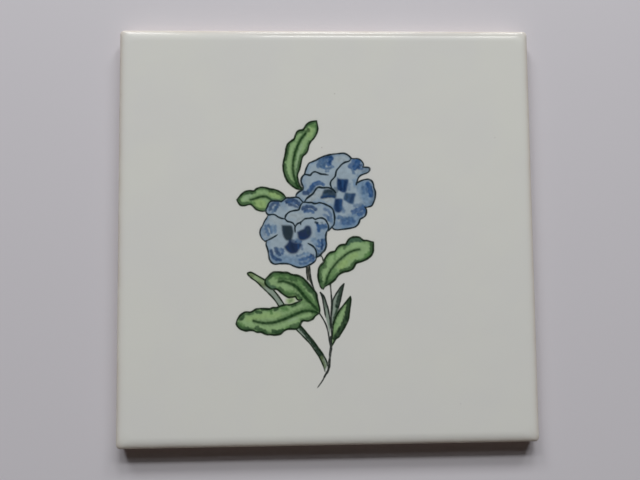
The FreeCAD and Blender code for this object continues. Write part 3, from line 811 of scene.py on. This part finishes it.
# %% Stalks
stalk_left = [(-10.5, -15.6), (-10.4, -18.7), (-10, -21.9)]
stalk_right = [(-9.1, -15.4), (-8.7, -19.2), (-8.2, -22.4), (-7.4, -25.4), (-6.3, -28)]
wash([stalk_left, [(-10, -21.9), (-7.5, -24.6)], stalk_right[:3][::-1]], stalk_brown, 0.9)
line(stalk_left, 0.5, stem_ink, 1.0, 0.8)
line(stalk_right, 0.55, stem_ink, 1.0, 0.7)
line([(-9.8, -15.8), (-9.4, -19.6), (-8.6, -22.8), (-7.7, -25)], 0.34, stem_ink)
line([(-4.6, -37.7), (-2.9, -40.4), (-1.5, -43.2), (-0.7, -45.9), (-0.2, -48.7), (0.5, -53.7)],
     0.54, stem_ink, 0.9)
line([(0.8, -24.2), (1.2, -29.8), (1.3, -32.6), (1.1, -36.4), (1, -40.4), (1.1, -44.2), (1.1, -52)],
     0.56, stem_ink, 1.0)
line([(0.9, -49), (0.8, -53.9), (0.4, -56.6), (0.2, -58.6), (0, -60.2), (-0.3, -63.1), (-0.9, -65.1),
      (-1.9, -66.6), (-2.6, -67.9)], 0.96, stem_ink, 0.8, 0.6)
line([(-2.4, -67.5), (-3.1, -68.9), (-4.3, -70.7), (-6, -72.9)], 0.42, stem_ink, 1.1, 0.1)
line([(-4, -10.2), (-3.2, -10.8), (-2.7, -12), (-2.5, -13.2)], 0.42, leaf_ink)
print("marks:", {kind: sum(mark["kind"] == kind for mark in marks) for kind in ("wash", "dab", "line")})

# %% [markdown]
# ## The flat of the face
# The tile was pressed in a die, so its face is flat up to a soft rim. The face could be one square
# polygon, but the painting will need many vertices. It starts as a plane whose four corners are
# rounded with a vertex bevel, and straight bisect cuts turn it into a grid of squares, which can be
# made finer later. The open rim stays selected for the next step.

# %% Flat of the face
cushion_width = 5.5
cushion_drop = 1.5
corner_radius = 2.0
cushion_corner_gain = 2.0
square_size = 2.75


def work_on(thing):
    """Selects one object alone and makes it the active one."""
    for other in bpy.context.selected_objects:
        other.select_set(False)
    thing.select_set(True)
    bpy.context.view_layer.objects.active = thing


def select_open_rim():
    """Selects the edges that have a face on one side only."""
    bpy.ops.mesh.select_all(action="DESELECT")
    bpy.ops.mesh.select_mode(type="EDGE")
    bpy.ops.mesh.select_non_manifold(extend=False, use_wire=False, use_boundary=True,
                                     use_multi_face=False, use_non_contiguous=False, use_verts=False)


flat_half = half_side - cushion_width
flat_radius = corner_radius + cushion_corner_gain
bpy.ops.mesh.primitive_plane_add(size=2 * flat_half * MM, location=(0.0, 0.0, face_height * MM))
tile = bpy.context.object
tile.name = "glazed_tile"
work_on(tile)
bpy.ops.object.transform_apply(location=True, rotation=True, scale=True)
bpy.ops.object.mode_set(mode="EDIT")
bpy.ops.mesh.select_all(action="SELECT")
bpy.ops.mesh.bevel(affect="VERTICES", offset=flat_radius * MM, segments=10, profile=0.5)
squares = int(2 * flat_half / square_size)
for number in range(1, squares):
    place = -flat_half + 2 * flat_half * number / squares
    for normal in ((1.0, 0.0, 0.0), (0.0, 1.0, 0.0)):
        bpy.ops.mesh.select_all(action="SELECT")
        bpy.ops.mesh.bisect(plane_co=[place * MM * axis for axis in normal], plane_no=normal)
select_open_rim()
print("flat of the face:", squares, "squares along each side")

# %% [markdown]
# ## Moving a ring
# The rim is pulled out of the face ring by ring. A ring is a square with rounded corners, and each
# one has its own size, corner radius and height. Scaling would change the corners with the sides,
# so the helper sets every vertex by its share of the side or of the corner. Along the top side the
# glaze drew back from the edge and left a groove a tenth of a millimetre deep, which fades out
# towards the left and at the corner. It is why that rim catches the window in two lines.

# %% Rings
groove_start = -36.0
groove_fade = 14.0
corner_fade = 6.0
rounding = 1e-4


def groove_share(x, y):
    """How much of the groove there is at a place: all of it along the top side, right of its start."""
    along = min(1.0, max(0.0, (x - groove_start) / groove_fade + 0.5))
    at_top = min(1.0, max(0.0, (y - abs(x)) / corner_fade + 0.5))
    return along * at_top


def set_ring(mesh, old_half, old_radius, half, radius, height, groove):
    """Moves the selected ring from one rounded square to another, keeping each vertex's share of it."""
    shape = bmesh.from_edit_mesh(mesh)
    old_reach = old_half - old_radius
    reach = half - radius
    for vertex in shape.verts:
        if not vertex.select:
            continue
        place = []
        spread = [abs(vertex.co.x) / MM - old_reach, abs(vertex.co.y) / MM - old_reach]
        on_corner = min(spread) > rounding
        angle = math.atan2(spread[1], spread[0])
        turned = (math.cos(angle), math.sin(angle))
        for axis in range(2):
            if on_corner:
                size = reach + radius * turned[axis]
            elif spread[axis] > rounding:
                size = half
            else:
                size = (old_reach + spread[axis]) * reach / old_reach
            place.append(math.copysign(size, vertex.co[axis]))
        level = height - groove * groove_share(place[0], place[1])
        vertex.co = (place[0] * MM, place[1] * MM, level * MM)
    bmesh.update_edit_mesh(mesh)


print("groove at the middle of the top side:", groove_share(0.0, half_side))

# %% [markdown]
# ## Cushion and sides
# The cushion falls along a quarter of an ellipse while its corners get sharper. Below it the side
# is upright for a joint, and then it is drafted so that the tile leaves the die. Each ring is
# extruded from the last one and set at once, because a bevel can't give an ellipse with corners
# that change. The rings are closer together where the cushion turns most.

# %% Cushion and sides
cushion_rings = 28
groove_place = 2.6
groove_width = 0.55
groove_depth = 0.1
land_bottom = 4.0
draft_angle = 8.0
seam_height = 2.4
rings = []
for number in range(1, cushion_rings + 1):
    angle = math.pi / 2.0 * (1.0 - number / cushion_rings)
    share = 1.0 - math.cos(angle)
    from_groove = (cushion_width * share - groove_place) / groove_width
    groove = groove_depth * math.exp(-0.5 * from_groove ** 2)
    rings.append((half_side - cushion_width * share, corner_radius + cushion_corner_gain * share,
                  face_height - cushion_drop * (1.0 - math.sin(angle)), groove))
seam_inset = (land_bottom - seam_height) * math.tan(math.radians(draft_angle))
rings.append((half_side, corner_radius, land_bottom, 0.0))
rings.append((half_side - seam_inset, corner_radius, seam_height, 0.0))
first_drop = 0.1
old_half, old_radius = flat_half, flat_radius
for half, radius, height, groove in rings:
    bpy.ops.mesh.extrude_region_move(TRANSFORM_OT_translate={"value": (0.0, 0.0, -first_drop * MM)})
    set_ring(tile.data, old_half, old_radius, half, radius, height, groove)
    old_half, old_radius = half, radius
bpy.ops.object.mode_set(mode="OBJECT")
print("face and sides:", len(tile.data.polygons), "faces in", len(rings), "rings")

# %% [markdown]
# ## The ribbed back
# The keyed back is already modelled in the frame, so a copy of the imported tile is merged, cut
# level just below the new sides, and its lower part is kept. Both parts now end in an open loop,
# and bridging the two loops closes the tile into one skin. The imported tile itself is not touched.

# %% Back
bridge_height = 0.15
cut_height = seam_height - bridge_height
merge_distance = 0.002
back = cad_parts["tile"].copy()
back.data = back.data.copy()
back.parent = None
back.animation_data_clear()
bpy.context.scene.collection.objects.link(back)
work_on(back)
bpy.ops.object.mode_set(mode="EDIT")
bpy.ops.mesh.select_all(action="SELECT")
bpy.ops.mesh.remove_doubles(threshold=merge_distance * MM)
bpy.ops.mesh.customdata_custom_splitnormals_clear()
bpy.ops.mesh.select_all(action="SELECT")
bpy.ops.mesh.bisect(plane_co=(0.0, 0.0, cut_height * MM), plane_no=(0.0, 0.0, 1.0), clear_outer=True)
bpy.ops.object.mode_set(mode="OBJECT")
back.data.materials.clear()
tile.select_set(True)
bpy.context.view_layer.objects.active = tile
bpy.ops.object.join()
bpy.ops.object.mode_set(mode="EDIT")
select_open_rim()
bpy.ops.mesh.bridge_edge_loops()
bpy.ops.mesh.select_all(action="SELECT")
bpy.ops.mesh.normals_make_consistent(inside=False)
bpy.ops.object.mode_set(mode="OBJECT")
print("closed tile:", len(tile.data.polygons), "faces")

# %% [markdown]
# ## How deep a spot lies in a mark
# A painting needs a fine surface to lie on. For each spot on the face, these helpers say how deep
# it lies inside a stroke or an outline. The depth is in millimetres, and outside it is negative,
# so that the edge of a line falls between two vertices and still comes out sharp.

# %% Depth inside marks
far_outside = -9.0


def depth_in_stroke(spots, path, widths):
    """How far each spot lies inside the edge of a stroke with these widths along its path."""
    depth = np.full(len(spots), far_outside)
    for start, end, first, last in zip(path[:-1], path[1:], widths[:-1], widths[1:]):
        run = end - start
        share = np.clip((spots - start) @ run / max(run @ run, 1e-9), 0.0, 1.0)
        gap = np.linalg.norm(spots - start - share[:, None] * run, axis=1)
        depth = np.maximum(depth, (first + (last - first) * share) / 2.0 - gap)
    return depth


def depth_in_outline(spots, edge):
    """How far each spot lies inside a closed outline."""
    closed = np.vstack([edge, edge[:1]])
    inside = np.zeros(len(spots), bool)
    for start, end in zip(closed[:-1], closed[1:]):
        crosses = (start[1] > spots[:, 1]) != (end[1] > spots[:, 1])
        rise = end[1] - start[1] if end[1] != start[1] else 1e-9
        crossing = start[0] + (spots[:, 1] - start[1]) * (end[0] - start[0]) / rise
        inside ^= crosses & (spots[:, 0] < crossing)
    gap = -depth_in_stroke(spots, closed, np.zeros(len(closed)))
    return np.where(inside, gap, -gap)


def depth_in_mark(spots, mark, margin):
    """Which spots are near a mark, and how deep they lie in it."""
    low = mark["path"].min(axis=0) - margin
    high = mark["path"].max(axis=0) + margin
    near = np.flatnonzero(np.all((spots > low) & (spots < high), axis=1))
    if mark["kind"] == "wash":
        return near, depth_in_outline(spots[near], mark["path"])
    return near, depth_in_stroke(spots[near], mark["path"], mark["widths"])


def depth_in_painting(spots, margin):
    """How deep each spot lies in the painted area. Washes and lines bound it, and dabs don't."""
    depth = np.full(len(spots), far_outside)
    for mark in marks:
        if mark["kind"] == "dab":
            continue
        near, here = depth_in_mark(spots, mark, margin)
        depth[near] = np.maximum(depth[near], here)
    return depth


print("the first wash is", depth_in_outline(np.array([[-16.0, 40.0]]), marks[0]["path"]).round(1),
      "mm deep near its middle")

# %% [markdown]
# ## A finer face under the sprig
# Lines half a millimetre wide need vertices closer than that, but only where something is
# painted. The squares near the sprig are subdivided three times, and each time the area shrinks
# towards the marks, so that the finest squares stay inside coarser ones.

# %% Refine
margins = (3.6, 2.1, 1.0)
search_margin = 4.0
level_with_face = face_height - 0.001
for margin in margins:
    centres = np.zeros(3 * len(tile.data.polygons))
    tile.data.polygons.foreach_get("center", centres)
    centres = centres.reshape(-1, 3) / MM
    on_face = np.flatnonzero(centres[:, 2] > level_with_face)
    wanted = np.zeros(len(centres), bool)
    wanted[on_face] = depth_in_painting(centres[on_face, :2], search_margin) > -margin
    bpy.ops.object.mode_set(mode="EDIT")
    bpy.ops.mesh.select_all(action="DESELECT")
    bpy.ops.mesh.select_mode(type="FACE")
    bpy.ops.object.mode_set(mode="OBJECT")
    tile.data.polygons.foreach_set("select", wanted)
    bpy.ops.object.mode_set(mode="EDIT")
    bpy.ops.mesh.subdivide(number_cuts=1, ngon=False)
    bpy.ops.object.mode_set(mode="OBJECT")
tile.data.calc_loop_triangles()
print("glazed tile:", len(tile.data.vertices), "vertices,", len(tile.data.loop_triangles), "triangles")
sharp_angle = 35.0
work_on(tile)
bpy.ops.object.shade_smooth_by_angle(angle=math.radians(sharp_angle))

# %% [markdown]
# ## How wet colour dries
# Wet colour on raw glaze sinks in unevenly. Its edge is soft and a little ragged, and the middle
# has pale and dark patches. A few waves that bend each other give such patches at any size, and
# they are the same each time the script runs.

# %% Wet colour
def smooth_step(value):
    """0 below 0 and 1 above 1, with a smooth rise between."""
    share = np.clip(value, 0.0, 1.0)
    return share * share * (3.0 - 2.0 * share)


def mottle(spots, size):
    """Soft uneven patches about this many millimetres across, from -1 to 1, as wet colour dries."""
    total = np.zeros(len(spots))
    for number in range(6):
        turn = 0.3 + 2.4 * number
        along = spots @ (math.cos(turn), math.sin(turn)) / size
        across = spots @ (-math.sin(turn), math.cos(turn)) / size
        total += np.sin(2.9 * along + 1.6 * np.sin(1.9 * across + number))
    return np.clip(total / 3.0, -1.0, 1.0)


places = np.zeros(3 * len(tile.data.vertices))
tile.data.vertices.foreach_get("co", places)
places = places.reshape(-1, 3) / MM
on_face = np.flatnonzero(places[:, 2] > level_with_face)
spots = places[on_face, :2]
edge_wander = 0.24
ragged = edge_wander * mottle(spots, size=0.9)
patches = mottle(spots, size=1.3)
clouds = 0.05 * mottle(spots, size=4.5) + 0.04 * mottle(spots, size=1.6)
print("vertices on the face:", len(spots))

# %% [markdown]
# ## Laying on the colour
# The marks are laid over each other in painting order, as thin layers: each one hides a share of
# what is below it. A leaf's or petal's wash runs a little past its outline, where it bleeds into
# the glaze, and dries darker just inside it, where it pools. A dab stops at the outline that it is
# kept in. Lines aren't mixed: ink gives way only to a line that a spot lies deeper in.

# %% Lay the marks
mark_margin = 2.5
bleed = 0.08
bleed_width = 2.2
pool_width = 2.8
pool_strength = 0.62
pool_unevenness = 0.3
dab_cover = 0.96
dab_gaps = 0.06
dab_unevenness = 0.14
outline_softness = 0.4
no_ink = -2.0
layer = np.zeros((len(spots), 4))
ink_depth = np.full(len(spots), no_ink)
ink_colour = np.tile(petal_ink, (len(spots), 1))


def lay(near, cover, density, colour):
    """Lays one thin layer: it hides a share of what is there and adds its own colour."""
    layer[near] *= (1.0 - cover)[:, None]
    layer[near, :3] += (cover * density)[:, None] * colour
    layer[near, 3] += cover


def lay_wash(mark, near, depth):
    cover = mark["strength"] * smooth_step(0.5 + depth / mark["soft"])
    if mark["pool"] is not None:
        cover = np.maximum(cover, bleed * smooth_step(1.0 + depth / bleed_width))
    lay(near, cover, 1.0 + clouds[near], mark["colour"])
    if mark["pool"] is not None:
        uneven = pool_strength + pool_unevenness * patches[near]
        pooled = uneven * smooth_step(1.0 - depth / pool_width) * cover
        layer[near, :3] += pooled[:, None] * (mark["pool"] - mark["colour"])


def lay_dab(mark, near, depth):
    depth = depth + mark["rough"] * np.minimum(1.0, mark["soft"]) * ragged[near]
    cover = mark["strength"] * smooth_step(0.5 + depth / mark["soft"])
    cover = cover * (dab_cover - dab_gaps * patches[near])
    if mark["within"] is not None:
        inside = depth_in_outline(spots[near], mark["within"])
        cover = cover * smooth_step(0.5 + inside / outline_softness)
    lay(near, cover, 1.0 + dab_unevenness * patches[near], mark["colour"])


def lay_line(mark, near, depth):
    closer = depth > ink_depth[near]
    ink_depth[near[closer]] = depth[closer]
    ink_colour[near[closer]] = mark["colour"]


brushes = {"wash": lay_wash, "dab": lay_dab, "line": lay_line}
for mark in marks:
    near, depth = depth_in_mark(spots, mark, mark_margin)
    brushes[mark["kind"]](mark, near, depth)
print("painted vertices:", int((layer[:, 3] > 0.01).sum()))

# %% [markdown]
# ## Keeping the painting on the tile
# An image texture would need its own file, so the painting is kept on the vertices. One attribute
# holds the colour and how much of the glaze it covers, a second holds the depth inside the nearest
# line, and a third its ink. The depth lets the material find a line's sharp edge between vertices.

# %% Store the painting
colour_values = np.zeros((len(places), 4), np.float32)
colour_values[on_face] = layer
depth_values = np.full(len(places), no_ink, np.float32)
depth_values[on_face] = ink_depth
ink_values = np.ones((len(places), 4), np.float32)
ink_values[on_face, :3] = ink_colour
for name, kind, field, values in (
    ("paint", "FLOAT_COLOR", "color", colour_values),
    ("ink_depth", "FLOAT", "value", depth_values),
    ("ink_colour", "FLOAT_COLOR", "color", ink_values),
):
    attribute = tile.data.attributes.new(name, kind, "POINT")
    attribute.data.foreach_set(field, values.ravel())
    print("attribute", name, "is on", len(values), "vertices")

# %% [markdown]
# ## A small language for materials
# Shader nodes are wired by a class that wraps one output socket. Adding or multiplying two of
# them in Python adds the Math node that does it, so a formula reads as a formula. Any other node
# comes from one method, which is told the node's type, its settings and what goes into it.

# %% Wires
class Wire:
    """One output socket of a material, which Python can calculate with."""

    def __init__(self, bench, socket):
        self.bench = bench
        self.socket = socket

    def math(self, operation, first, second):
        return self.bench.make("ShaderNodeMath", {"operation": operation}, {0: first, 1: second})

    def __add__(self, other):
        return self.math("ADD", self, other)

    def __radd__(self, other):
        return self.math("ADD", other, self)

    def __sub__(self, other):
        return self.math("SUBTRACT", self, other)

    def __rsub__(self, other):
        return self.math("SUBTRACT", other, self)

    def __mul__(self, other):
        return self.math("MULTIPLY", self, other)

    def __rmul__(self, other):
        return self.math("MULTIPLY", other, self)


class Bench:
    """The node tree of one material."""

    def __init__(self, name):
        self.material = bpy.data.materials.new(name)
        self.material.use_nodes = True
        self.tree = self.material.node_tree
        self.tree.nodes.clear()

    def make(self, kind, settings, sockets, output=0):
        """Adds a node: its settings first, then the values or wires of its sockets."""
        node = self.tree.nodes.new(kind)
        for name, value in settings.items():
            setattr(node, name, value)
        for name, value in sockets.items():
            if isinstance(value, Wire):
                self.tree.links.new(value.socket, node.inputs[name])
            else:
                node.inputs[name].default_value = value
        return Wire(self, node.outputs[output])

    def attribute(self, name, output):
        return self.make("ShaderNodeAttribute", {"attribute_name": name}, {}, output=output)

    def scale(self, vector, factor):
        """A vector or a colour made longer or brighter by a factor."""
        return self.make("ShaderNodeVectorMath", {"operation": "SCALE"}, {0: vector, "Scale": factor})

    def noise(self, place, scale, detail=2.0, roughness=0.5):
        return self.make("ShaderNodeTexNoise", {}, {
            "Vector": place, "Scale": scale, "Detail": detail, "Roughness": roughness})

    def ramp(self, value, low, high):
        """0 below low and 1 above high, with a smooth rise between."""
        return self.make("ShaderNodeMapRange", {"interpolation_type": "SMOOTHSTEP"}, {
            "Value": value, "From Min": low, "From Max": high})

    def mix(self, share, first, second):
        """A colour that goes from the first to the second."""
        return self.make("ShaderNodeMix", {"data_type": "RGBA"}, {0: share, 6: first, 7: second}, output=2)

    def finish(self, surface):
        output = self.tree.nodes.new("ShaderNodeOutputMaterial")
        self.tree.links.new(surface.socket, output.inputs["Surface"])
        return self.material


# %% [markdown]
# ## White glaze
# The glaze is a warm white with faint clouds, where it lies thicker or thinner, and a few pinholes,
# where gas came out of the clay. A slow noise fades between two whites. The pinholes are the
# centres of large Voronoi cells, so they are few and far apart.

# %% White glaze
warm_white = (0.79, 0.802, 0.755, 1.0)
cool_white = (0.775, 0.784, 0.755, 1.0)
pinhole_grey = (0.36, 0.33, 0.31, 1.0)


def white_glaze(bench, place):
    clouds = bench.noise(place, scale=0.03, detail=3.0)
    glaze = bench.mix(bench.ramp(clouds, 0.3, 0.7), warm_white, cool_white)
    from_centre = bench.make("ShaderNodeTexVoronoi", {}, {"Vector": place, "Scale": 0.055}, output="Distance")
    pinholes = (1.0 - bench.ramp(from_centre, 0.012, 0.028)) * 0.3
    return bench.mix(pinholes, glaze, pinhole_grey)


print("glaze goes from", warm_white[:3], "to", cool_white[:3])

# %% [markdown]
# ## Paint and ink in the glaze
# The paint sinks into the glaze, so it is part of the same surface. The paint attribute already
# holds the colour times its cover, so what is left of the glaze is only added to it. A fine grain
# and watery clouds make it uneven. The ink lines come from the depth attribute, and the same grain
# roughens their edges.

# %% Painted glaze
line_edge = (-0.31, 0.14)
edge_grain = 0.1


def painted_glaze(bench, place, glaze, grain):
    cover = bench.attribute("paint", "Alpha")
    water = bench.noise(place, scale=0.45, detail=3.0)
    density = 0.84 + 0.2 * water + 0.12 * grain
    thin_paint = bench.scale(bench.attribute("paint", "Color"), density)
    left_glaze = bench.scale(glaze, 1.0 - cover)
    painted = bench.make("ShaderNodeVectorMath", {"operation": "ADD"}, {0: thin_paint, 1: left_glaze})
    ragged_depth = bench.attribute("ink_depth", "Fac") + edge_grain * (grain - 0.5)
    drawn = bench.ramp(ragged_depth, *line_edge) * (0.98 - 0.12 * bench.ramp(water, 0.5, 0.7))
    return bench.mix(drawn, painted, bench.attribute("ink_colour", "Color"))


print("a line fades over", round(line_edge[1] - line_edge[0], 2), "mm")

# %% [markdown]
# ## Bare clay
# The back and the lower sides are bare, pinkish and matt. The clay has soft patches from the fire,
# pale grains of grog and small dark pits. One fine noise serves for both: its high places are
# grog and its low places are pits.

# %% Bare clay
deep_clay = (0.52, 0.34, 0.24, 1.0)
pale_clay = (0.6, 0.43, 0.32, 1.0)
grog = (0.75, 0.62, 0.5, 1.0)
pit = (0.3, 0.17, 0.11, 1.0)


def bare_clay(bench, place, speckle):
    patches = bench.noise(place, scale=0.08, detail=3.0)
    clay = bench.mix(bench.ramp(patches, 0.3, 0.7), deep_clay, pale_clay)
    clay = bench.mix(bench.ramp(speckle, 0.55, 0.8) * 0.5, clay, grog)
    return bench.mix((1.0 - bench.ramp(speckle, 0.25, 0.4)) * 0.6, clay, pit)


print("clay goes from", deep_clay[:3], "to", pale_clay[:3])

# %% [markdown]
# ## Glaze and clay in one material
# The whole tile is one skin, so one material holds all its finishes and fades between them by
# height. Towards the rim the glaze runs thin, and the clay shows through as a brownish edge. It
# stops unevenly part of the way down the sides, because the tile was glazed from above. The glazed
# part has a slow swell and hardly any orange peel, and the bare part is rough to the touch.

# %% Glazed clay
rim_brown = (0.45, 0.34, 0.27, 1.0)
rim_heights = (7.1, 8.0)
glaze_end = (2.35, 2.75)
glaze_wander = 2.2
bump_height = 0.00005


def glazed_clay():
    bench = Bench("glazed_clay")
    place = bench.scale(bench.make("ShaderNodeTexCoord", {}, {}, output="Object"), 1.0 / MM)
    height = bench.make("ShaderNodeSeparateXYZ", {}, {0: place}, output="Z")
    grain = bench.noise(place, scale=2.4, detail=3.0)
    speckle = bench.noise(place, scale=1.6, detail=4.0, roughness=0.65)
    painted = painted_glaze(bench, place, white_glaze(bench, place), grain)
    thinning = 0.18 + 0.4 * bench.noise(place, scale=0.09)
    face = bench.mix((1.0 - bench.ramp(height, *rim_heights)) * thinning, painted, rim_brown)
    bare = 1.0 - bench.ramp(height - glaze_wander * bench.noise(place, scale=0.12), *glaze_end)

    swell = bench.noise(place, scale=0.045, detail=1.0)
    peel = bench.noise(place, scale=0.35)
    relief = (1.0 - bare) * (swell * 2.0 + peel * 0.12) + bare * (speckle * 1.6 + grain * 0.7)
    surface = bench.make("ShaderNodeBsdfPrincipled", {}, {
        "Base Color": bench.mix(bare, face, bare_clay(bench, place, speckle)),
        "Roughness": 0.12 + 0.04 * peel + 0.72 * bare,
        "IOR": 1.5,
        "Specular IOR Level": 0.19,
        "Normal": bench.make("ShaderNodeBump", {}, {
            "Strength": 1.0, "Distance": bump_height, "Height": relief}),
    })
    return bench.finish(surface)


tile.data.materials.clear()
tile.data.materials.append(glazed_clay())
print("nodes in the tile's material:", len(tile.data.materials[0].node_tree.nodes))

# %% [markdown]
# ## The table
# The table is a pale lilac grey with a dull sheen. It only has to catch the tile's shadow, so one
# colour and one roughness are enough.

# %% Table finish
table_colour = (0.7, 0.685, 0.73, 1.0)
table_roughness = 0.6


def pale_table():
    bench = Bench("pale_table")
    surface = bench.make("ShaderNodeBsdfPrincipled", {}, {
        "Base Color": table_colour,
        "Roughness": table_roughness,
    })
    return bench.finish(surface)


floor.data.materials.append(pale_table())
print("table colour:", table_colour[:3])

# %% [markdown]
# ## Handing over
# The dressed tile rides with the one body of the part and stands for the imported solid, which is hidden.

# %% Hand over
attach(tile, "root")
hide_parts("tile")
